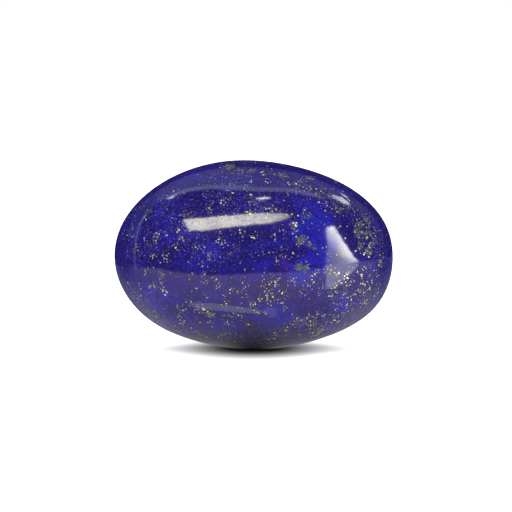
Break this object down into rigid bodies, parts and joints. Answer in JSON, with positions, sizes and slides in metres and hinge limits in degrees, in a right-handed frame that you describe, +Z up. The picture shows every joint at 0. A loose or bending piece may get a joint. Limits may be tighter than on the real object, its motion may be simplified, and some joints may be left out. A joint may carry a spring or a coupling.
{
  "type": "polished lapis lazuli pebble",
  "caption": "Smooth oval pebble of deep blue stone with pyrite flecks, polished all over, standing on a small flat spot; a loose display or handling stone.",
  "frame": {"origin": "under the middle of the stone's box, at the level of the flat spot it rests on", "axes": "+X along the stone's length, +Y from its front to its back, +Z up"},
  "size_m": [0.04, 0.0252, 0.027],
  "materials": {
    "polished_lapis": "polished"
  },
  "bodies": {
    "root": {"stone": "polished_lapis"}
  },
  "joints": []
}
